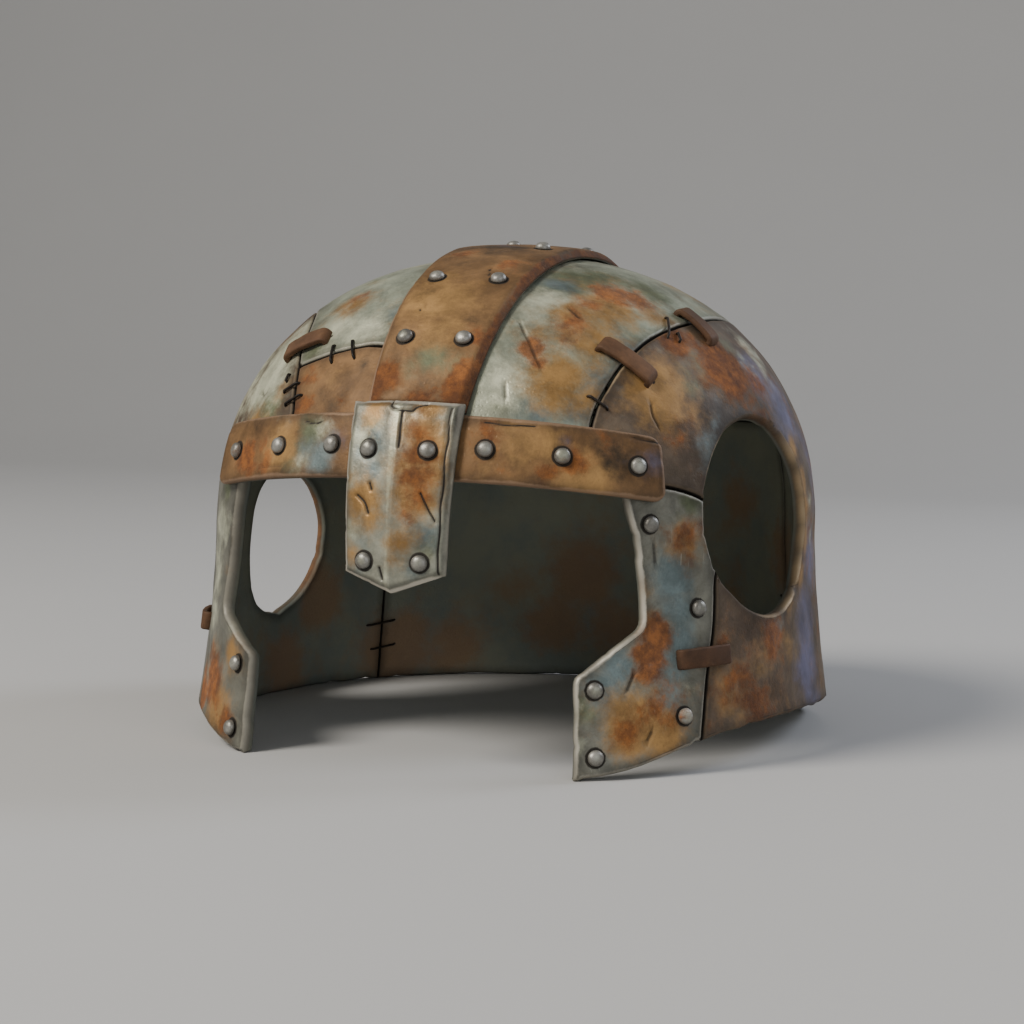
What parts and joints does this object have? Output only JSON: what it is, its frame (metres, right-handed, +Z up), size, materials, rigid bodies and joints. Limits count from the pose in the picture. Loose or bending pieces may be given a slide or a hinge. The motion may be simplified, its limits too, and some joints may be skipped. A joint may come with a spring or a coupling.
{
  "type": "riveted helmet",
  "caption": "Open-faced iron helmet of butted plates with a riveted crest band, brow band and nasal, round ear holes and stapled seams.",
  "frame": {"origin": "on the floor plane the helmet stands on, midway across and along the helmet", "axes": "+Z up, the face opening looks along -Y, the wearer's left is +X"},
  "size_m": [0.2393, 0.2636, 0.187],
  "materials": {
    "crown_iron": "pale grey-green worn iron with orange rust blotches",
    "side_iron": "tarnished iron, brown rust over blue-grey metal",
    "cheek_iron": "blue-grey iron with orange rust blotches and pale worn edges",
    "rusted_band": "thick strap iron, brown rust, worn pale at the edges",
    "pale_iron": "pale grey iron, orange rust along the middle",
    "rivet_steel": "domed rivets worn bright",
    "staple_iron": "dark brown rusted strap"
  },
  "bodies": {
    "root": {"side_plate_left": "side_iron", "side_plate_right": "side_iron", "cheek_plate_left": "cheek_iron", "cheek_plate_right": "cheek_iron", "crown_plate_left": "crown_iron", "crown_plate_right": "crown_iron", "patch_plate": "rusted_band", "back_plate": "side_iron", "crest_band": "rusted_band", "brow_band": "rusted_band", "nasal": "pale_iron", "rivet_brow_1": "rivet_steel", "rivet_brow_2": "rivet_steel", "rivet_brow_3": "rivet_steel", "rivet_brow_4": "rivet_steel", "rivet_brow_5": "rivet_steel", "rivet_brow_6": "rivet_steel", "rivet_crest_1": "rivet_steel", "rivet_crest_2": "rivet_steel", "rivet_crest_3": "rivet_steel", "rivet_crest_4": "rivet_steel", "rivet_crest_5": "rivet_steel", "rivet_crest_6": "rivet_steel", "rivet_crest_7": "rivet_steel", "rivet_crest_8": "rivet_steel", "rivet_crest_9": "rivet_steel", "rivet_crest_10": "rivet_steel", "rivet_crest_11": "rivet_steel", "rivet_nasal_1": "rivet_steel", "rivet_nasal_2": "rivet_steel", "rivet_nasal_3": "rivet_steel", "rivet_nasal_4": "rivet_steel", "rivet_cheek_left_1": "rivet_steel", "rivet_cheek_left_2": "rivet_steel", "rivet_cheek_left_3": "rivet_steel", "rivet_cheek_left_4": "rivet_steel", "rivet_cheek_left_5": "rivet_steel", "rivet_cheek_right_1": "rivet_steel", "rivet_cheek_right_2": "rivet_steel", "staple_arch_left_front": "staple_iron", "staple_arch_left_top": "staple_iron", "staple_cheek_left": "staple_iron", "staple_arch_right_front": "staple_iron", "staple_arch_right_top": "staple_iron", "staple_cheek_right": "staple_iron"}
  },
  "joints": []
}
